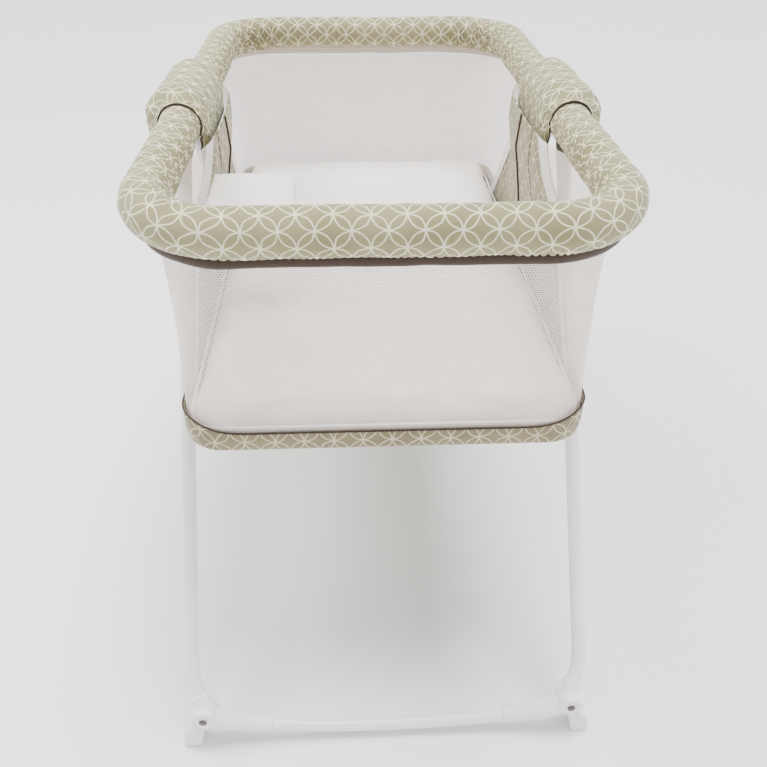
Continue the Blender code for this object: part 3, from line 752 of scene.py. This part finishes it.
def build_net_wall(end, end_sign, levels=33):
    rows = []
    uvs = []
    for height in spread(0.0, 1.0, levels):
        z = wall_z(height)
        width = wall_half_width(height)
        length = wall_half_length(height)
        start = panel_edge(height)
        corner = BASE_CORNER + (WALL_TOP_CORNER - BASE_CORNER) * height
        total = 2 * (length - corner - start) + math.pi * corner + 2 * (width - corner)
        row = []
        uv_row = []
        for u in spread(0.0, 1.0, 151):
            (x, y), (nx, ny) = u_point(total * u, width, length, corner, start, end_sign)
            if abs(y) < PANEL_LEAN_Y:
                x = math.copysign(panel_x(y, height), x)
            slack = cloth_ripple(x, y, z, 11.0 + end_sign) * math.sin(math.pi * height)
            row.append((x + nx * slack, y + ny * slack, z))
            uv_row.append((start + total * u, z))
        rows.append(row)
        uvs.append(uv_row)
    net = grid_piece(f"{end}_net_wall", rows, uvs, NET)
    finish_wall(net, f"{end}_mesh_wall")


def finish_wall(piece, node):
    """Hide the cloth wall's CAD node and bake the wall's placement into its mesh; its area (halved for a
    panel) is worked out but not used.
    """
    area = surface_area(piece)
    if piece.name.endswith("panel"):
        area /= 2
    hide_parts(node)
    follow_rail(piece)


def follow_rail(piece):
    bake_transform(piece)


def build_side_panel(end, end_sign, side, sign, levels=33):
    rows = []
    uvs = []
    for height in spread(0.0, 1.0, levels):
        z = wall_z(height)
        row = []
        uv_row = []
        for y in spread(RAIL_PIVOT_Y - 0.004, panel_edge(height) + 0.002, 61):
            slack = 1.5 * cloth_ripple(sign * 0.3, y, z, 17.0 + end_sign)
            slack *= math.sin(math.pi * height)
            row.append((sign * (panel_x(y, height) + slack), end_sign * y, z))
            uv_row.append((end_sign * y, z))
        rows.append(row)
        uvs.append(uv_row)
    panel = grid_piece(f"{end}_{side}_side_panel", rows, uvs, SAGE_DARK, thickness=PANEL_CLOTH)
    finish_wall(panel, f"{end}_{side}_panel")
    strip_rows = []
    strip_uvs = []
    for height in spread(0.0, 1.0, levels):
        z = wall_z(height)
        edge = panel_edge(height)
        row = []
        for offset in spread(-0.020, 0.006, 6):
            y = edge + offset
            row.append((sign * (panel_x(y, height) - 0.0016), end_sign * y, z))
        strip_rows.append(row)
        strip_uvs.append([(0.002 * k, z) for k in range(6)])
    strip = grid_piece(f"{end}_{side}_seam_strip", strip_rows, strip_uvs, VINYL_STRIP,
                       thickness=STRIP_CLOTH)
    follow_rail(strip)


def build_centre_panel(side, sign, levels=33):
    """Cloth under the hub, creased inward and piped down its middle."""
    rows = []
    uvs = []
    half = RAIL_PIVOT_Y + 0.002
    for height in spread(0.0, 1.0, levels):
        z = wall_z(height)
        row = []
        for y in spread(-half, half, 41):
            inward = CENTRE_CREASE * math.sin(math.pi * height) * (1 - abs(y) / half)
            row.append((sign * (panel_x(y, height) - 0.0014 - inward), y, z))
        rows.append(row)
        uvs.append([(y, z) for y in spread(-half, half, 41)])
    panel = grid_piece(f"centre_{side}_side_panel", rows, uvs, SAGE_DARK, thickness=PANEL_CLOTH)
    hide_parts(f"centre_{side}_panel")
    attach(panel, "basket")
    line = []
    for height in spread(0.06, 1.0, levels):
        inward = CENTRE_CREASE * math.sin(math.pi * height)
        line.append((sign * (panel_x(0.0, height) - 0.0030 - inward), 0.0, wall_z(height)))
    piping = tube(f"centre_{side}_panel_piping", line, PANEL_PIPING_RADIUS, BROWN_TAPE, sides=TRIM_SIDES)
    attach(piping, "basket")


# ---------------------------------------------------------------- base

def band_top(x, y):
    """Height of the band: low across each end, tall round the corners and along the sides."""
    round_corner = ease(abs(x), BASE_HALF_WIDTH - 0.078, BASE_HALF_WIDTH - 0.004)
    return BAND_LOW + (BAND_HIGH - BAND_LOW) * round_corner ** 1.6


def base_loop(inset, step=0.007):
    """Points and outward directions all round the basket's foot."""
    near = u_shape(BASE_HALF_WIDTH - inset, BASE_HALF_LENGTH - inset, BASE_CORNER - inset,
                   0.0, -1, step)
    far = [((-x, -y), (-nx, -ny), s + near[-1][2]) for (x, y), (nx, ny), s in near]
    return near[:-1] + far[:-1]


def build_band():
    """Patterned band round the foot of the basket, turned under at the bottom."""
    loop = base_loop(0.0)
    rows = []
    uvs = []
    under = BAND_TURN_UNDER
    for k in range(12):
        row = []
        uv_row = []
        for (x, y), (nx, ny), s in loop:
            top = band_top(x, y)
            if k < 5:
                angle = math.pi / 2 * k / 4
                out = BAND_PROUD - under * (1 - math.sin(angle))
                up = under * (1 - math.cos(angle)) * 0.9
            else:
                rise = (k - 4) / 7
                lumps = 0.0008 * wobble(x, y, 0.4 * rise, 0.03, 9.0)
                out = BAND_PROUD + 0.0010 * math.sin(math.pi * rise) + lumps
                up = under * 0.9 + (top - under * 0.9) * rise
            row.append((x + nx * out, y + ny * out, BASE_Z + up))
            uv_row.append((s, up))
        rows.append(row)
        uvs.append(uv_row)
    band = grid_piece("base_band", rows, uvs, SAGE_DARK, wrap=True)
    work = bmesh.new()
    work.from_mesh(band.data)
    work.verts.ensure_lookup_table()
    layer = work.loops.layers.uv.active
    floor = work.faces.new(list(reversed(work.verts[:len(loop)])))
    for corner in floor.loops:
        corner[layer].uv = corner.vert.co.xy
    bmesh.ops.recalc_face_normals(work, faces=work.faces)
    work.to_mesh(band.data)
    work.free()
    shell = band.modifiers.new("Cloth", "SOLIDIFY")
    shell.thickness = BAND_CLOTH
    shell.offset = -1
    apply_modifiers(band)
    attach(band, "basket")
    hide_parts("floor_tray")
    edge = [(x + nx * BAND_CLOTH, y + ny * BAND_CLOTH, BASE_Z + band_top(x, y))
            for (x, y), (nx, ny), _ in loop]
    piping = tube("base_band_piping", edge, BAND_PIPING_RADIUS, BROWN_TAPE, sides=TRIM_SIDES, closed=True)
    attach(piping, "basket")


# ---------------------------------------------------------------- cushion

def build_cushion():
    low, high = (Vector(corner) for corner in CUSHION_BOX)
    half = (high - low) / 2
    middle = (high + low) / 2
    rows = []
    uvs = []
    steps = 26
    for k in range(steps + 1):
        angle = -math.pi / 2 + math.pi * k / steps
        shrink = 1 - abs(math.cos(angle)) ** 0.35
        rise = math.copysign(abs(math.sin(angle)) ** 0.8, math.sin(angle))
        row = []
        for (x, y), _, _ in base_loop(BASE_HALF_WIDTH - half.x, step=0.009):
            reach = CUSHION_CORNER_INSET * shrink
            z = middle.z + half.z * rise
            row.append((x * (1 - reach / half.x), y * (1 - reach / half.y), z))
        rows.append(row)
        uvs.append([(point[0], point[1]) for point in row])
    cushion = grid_piece("cushion_cover", rows, uvs, WHITE_COTTON, wrap=True, ends=True)
    inflate(cushion)
    shape_cushion(cushion, middle, half)
    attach(cushion, "basket")
    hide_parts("cushion")
    rim = [(x, y, middle.z) for (x, y), _, _ in base_loop(BASE_HALF_WIDTH - half.x - 0.001, step=0.012)]
    piping = tube("cushion_piping", rim, CUSHION_PIPING_RADIUS, WHITE_COTTON, sides=TRIM_SIDES,
                  closed=True)
    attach(piping, "basket")


def inflate(piece):
    """Let the cover swell as cloth round its filling, then keep the result."""
    remesh = piece.modifiers.new("Remesh", "REMESH")
    remesh.mode = "VOXEL"
    remesh.voxel_size = CLOTH_VOXEL
    apply_modifiers(piece)
    cloth = piece.modifiers.new("Cloth", "CLOTH")
    cloth.settings.use_pressure = True
    cloth.settings.uniform_pressure_force = CLOTH_PRESSURE
    cloth.settings.tension_stiffness = CLOTH_STIFFNESS
    cloth.settings.compression_stiffness = CLOTH_STIFFNESS
    cloth.settings.shrink_min = CLOTH_SHRINK
    cloth.settings.effector_weights.gravity = 0.0
    cloth.point_cache.frame_start = 1
    cloth.point_cache.frame_end = CLOTH_FRAMES
    rest = [vertex.co.copy() for vertex in piece.data.vertices]
    scene = bpy.context.scene
    for number in range(1, CLOTH_FRAMES + 1):
        scene.frame_set(number)
    apply_modifiers(piece)
    for vertex, home in zip(piece.data.vertices, rest):
        move = vertex.co - home
        if move.length > CLOTH_MOVE_LIMIT:
            move = move.normalized() * CLOTH_MOVE_LIMIT
        vertex.co = home + move
    scene.frame_set(1)
    piece.data.shade_smooth()


def shape_cushion(piece, middle, half):
    """Crown, dents and edge puckers, held inside the cushion's box and flat underneath."""
    for vertex in piece.data.vertices:
        x, y, z = vertex.co
        upper = ease(z, middle.z, middle.z + half.z * 0.6)
        edge = max(abs(x) / half.x, abs(y) / half.y)
        dents = 0.0035 * wobble(x, y, 0.0, 0.09, 4.0) + 0.0016 * wobble(x, y, 0.2, 0.03, 4.5)
        phase = (x + y) / 0.0055 + 3 * wobble(x, y, 0, 0.04, 2.0)
        pucker = 0.0016 * math.sin(phase) * ease(edge, 0.82, 0.98)
        seam = -0.0035 * math.exp(-((y - RAIL_PIVOT_Y * 2.2 + 0.02 * x) / 0.005) ** 2)
        crown = CUSHION_CROWN * (1 - edge ** 2)
        highest = middle.z + half.z + CUSHION_CROWN_LIMIT
        vertex.co.z = min(z + upper * (dents + pucker + seam + crown), highest)
        vertex.co.z = max(vertex.co.z, middle.z - half.z)


def build_card():
    """A blank card sewn into the left wall's seam, standing out over the cushion."""
    sewn_low = Vector((-0.2200, -0.158, 0.596))
    sewn_high = Vector((-0.2215, -0.100, 0.626))
    reach = Vector((CARD_LENGTH, -0.004, -0.003))
    rows = []
    uvs = []
    for v in spread(0.0, 1.0, 9):
        row = []
        for u in spread(0.0, 1.0, 15):
            bend = 0.004 * math.sin(math.pi * u) - 0.006 * u * u * (1 - v)
            droop = Vector((0.0, 0.0, bend))
            row.append(sewn_low.lerp(sewn_high, v) + reach * u + droop)
        rows.append(row)
        uvs.append([(CARD_LENGTH * u, CARD_WIDTH * v) for u in spread(0.0, 1.0, 15)])
    card = grid_piece("blank_card", rows, uvs, WHITE_COTTON, thickness=CARD_THICKNESS)
    follow_rail(card)


# ---------------------------------------------------------------- legs

def leg_point(end_sign, sign, distance):
    top = Vector((0.0, end_sign * LEG_TOP.y, LEG_TOP.z))
    foot = Vector((0.0, end_sign * SCREW_Y, SCREW_Z))
    length = (foot - top).length
    beyond = max(0.0, distance - (length - LEG_BEND_LENGTH))
    point = top + (foot - top).normalized() * distance
    point.x = sign * (LEG_X - beyond ** 2 / (2 * LEG_BEND_RADIUS))
    return point


def leg_length():
    return math.hypot(SCREW_Y - LEG_TOP.y, SCREW_Z - LEG_TOP.z)


def build_leg(end, end_sign, side, sign):
    length = leg_length()
    stops = [0.0243, 0.3, length - LEG_BEND_LENGTH - 0.01]
    stops += spread(length - LEG_BEND_LENGTH, length - 0.020, 14)
    leg = tube(f"{end}_{side}_leg", [leg_point(end_sign, sign, stop) for stop in stops],
               LEG_RADIUS, WHITE_PAINT, sides=32)
    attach(leg, f"{end}_leg")
    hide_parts(f"{end}_{side}_leg_tube")


def build_rocker(end, end_sign):
    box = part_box(f"{end}_rocker_bar")
    radius = (box[1][1] - box[0][1]) / 2
    line = [(x, end_sign * SCREW_Y, 0.0175 + 0.45 * x ** 2) for x in spread(box[0][0], box[1][0], 41)]
    bar = tube(f"{end}_rocker", line, radius, WHITE_PAINT, sides=32)
    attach(bar, f"{end}_leg")
    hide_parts(f"{end}_rocker_bar")


def moulded(name, node, body, material, voxel=0.0012, passes=8):
    """The node's own shape with its edges and joints melted together, as moulded plastic."""
    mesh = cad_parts[node].data.copy()
    mesh.materials.clear()
    made = link(name, mesh, material)
    remesh = made.modifiers.new("Remesh", "REMESH")
    remesh.mode = "VOXEL"
    remesh.voxel_size = voxel
    melt = made.modifiers.new("Melt", "SMOOTH")
    melt.factor = 0.5
    melt.iterations = passes
    apply_modifiers(made)
    made.data.shade_smooth()
    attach(made, body)
    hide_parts(node)
    return made


def build_stand():
    for end, end_sign in ENDS:
        build_rocker(end, end_sign)
        for side, sign in SIDES:
            build_leg(end, end_sign, side, sign)
            moulded(f"{end}_{side}_rocker_end", f"{end}_{side}_shoe", f"{end}_leg",
                    WHITE_PLASTIC)
            moulded(f"{end}_{side}_fold_foot", f"{end}_{side}_foot", f"{end}_{side}_foot",
                    WHITE_PLASTIC)


# ---------------------------------------------------------------- kept CAD nodes

def build_latch_spring(side):
    """The coil behind a release button: a steel copy of its CAD node, carried with the basket."""
    node = f"{side}_latch_spring"
    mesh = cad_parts[node].data.copy()
    mesh.materials.clear()
    spring = link(f"{side}_button_spring", mesh, STEEL)
    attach(spring, "basket")
    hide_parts(node)
    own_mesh(spring)


def dress_nodes():
    """Give every CAD node that still shows its own material."""
    for name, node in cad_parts.items():
        if "rail_tube" in name or "spring" in name:
            material = STEEL
        elif "screw" in name:
            material = DARK_STEEL
        elif "latch_button" in name:
            material = WHITE_PLASTIC
        elif "knuckle" in name or "hub_" in name:
            material = DARK_PLASTIC
        elif "board" in name:
            material = BOARD
        elif "leg_tube" in name or "rocker_bar" in name:
            material = WHITE_PAINT
        else:
            material = WHITE_PLASTIC
        node.data.materials.clear()
        node.data.materials.append(material)


# ---------------------------------------------------------------- stage, lights and camera

FLOOR_HALF_SIZE = 30.0
WORLD_STRENGTH = 1.05
SUN_STRENGTH = 4.6
SUN_ANGLE = math.radians(28)
CAMERA_PLACE = (-0.0394, -1.0625, RAIL_Z + 0.312)
CAMERA_YAW_PITCH_ROLL = (-2.98, 36.63, -0.54)
LENS = 36.0
SENSOR_WIDTH = 36.0


def build_stage():
    mesh = bpy.data.meshes.new("floor")
    signs = ((-1, -1), (1, -1), (1, 1), (-1, 1))
    corners = [(x * FLOOR_HALF_SIZE, y * FLOOR_HALF_SIZE, 0) for x, y in signs]
    mesh.from_pydata(corners, [], [(0, 1, 2, 3)])
    nodes = Nodes("floor_paint", 0.8)
    nodes.shader.inputs["Base Color"].default_value = (0.90, 0.90, 0.90, 1.0)
    floor = link("floor", mesh, nodes.material)
    world = bpy.data.worlds.new("studio")
    bpy.context.scene.world = world
    world.use_nodes = True
    background = world.node_tree.nodes["Background"]
    background.inputs["Color"].default_value = (1.0, 1.0, 1.0, 1.0)
    background.inputs["Strength"].default_value = WORLD_STRENGTH
    for name, place, aim, size, power in (
            ("key", (-1.3, 0.2, 2.6), (0.0, 0.0, 0.5), 0.9, 60.0),
            ("fill", (2.0, -1.6, 1.4), (0.0, 0.0, 0.4), 2.0, 10.0)):
        data = bpy.data.lights.new(name, "AREA")
        data.size = size
        data.energy = power
        lamp = bpy.data.objects.new(name, data)
        bpy.context.scene.collection.objects.link(lamp)
        lamp.location = place
        lamp.rotation_euler = (Vector(aim) - Vector(place)).to_track_quat("-Z", "Y").to_euler()
    data = bpy.data.lights.new("overhead", "SUN")
    data.energy = SUN_STRENGTH
    data.angle = SUN_ANGLE
    lamp = bpy.data.objects.new("overhead", data)
    bpy.context.scene.collection.objects.link(lamp)
    lamp.rotation_euler = (math.radians(-6), math.radians(8), 0.0)


def build_camera():
    yaw, pitch, roll = (math.radians(angle) for angle in CAMERA_YAW_PITCH_ROLL)
    forward = Vector((-math.sin(yaw) * math.cos(pitch),
                      math.cos(yaw) * math.cos(pitch),
                      -math.sin(pitch)))
    level = Vector((math.cos(yaw), math.sin(yaw), 0.0))
    down = forward.cross(level)
    right = level * math.cos(roll) + down * math.sin(roll)
    down = down * math.cos(roll) - level * math.sin(roll)
    data = bpy.data.cameras.new("camera")
    data.lens = LENS
    data.sensor_width = SENSOR_WIDTH
    camera = bpy.data.objects.new("camera", data)
    bpy.context.scene.collection.objects.link(camera)
    turn = Matrix((right, -down, -forward)).transposed()
    camera.matrix_world = Matrix.Translation(CAMERA_PLACE) @ turn.to_4x4()
    bpy.context.scene.camera = camera


# ---------------------------------------------------------------- build

dress_nodes()
for end, end_sign in ENDS:
    build_rim(end, end_sign)
    build_binding(end, end_sign)
    build_net_wall(end, end_sign)
    for side, sign in SIDES:
        build_side_panel(end, end_sign, side, sign)
        build_hub_sleeve(end, end_sign, side, sign)
for side, sign in SIDES:
    build_centre_panel(side, sign)
    build_latch_spring(side)
build_band()
build_cushion()
build_card()
build_stand()
build_stage()
build_camera()
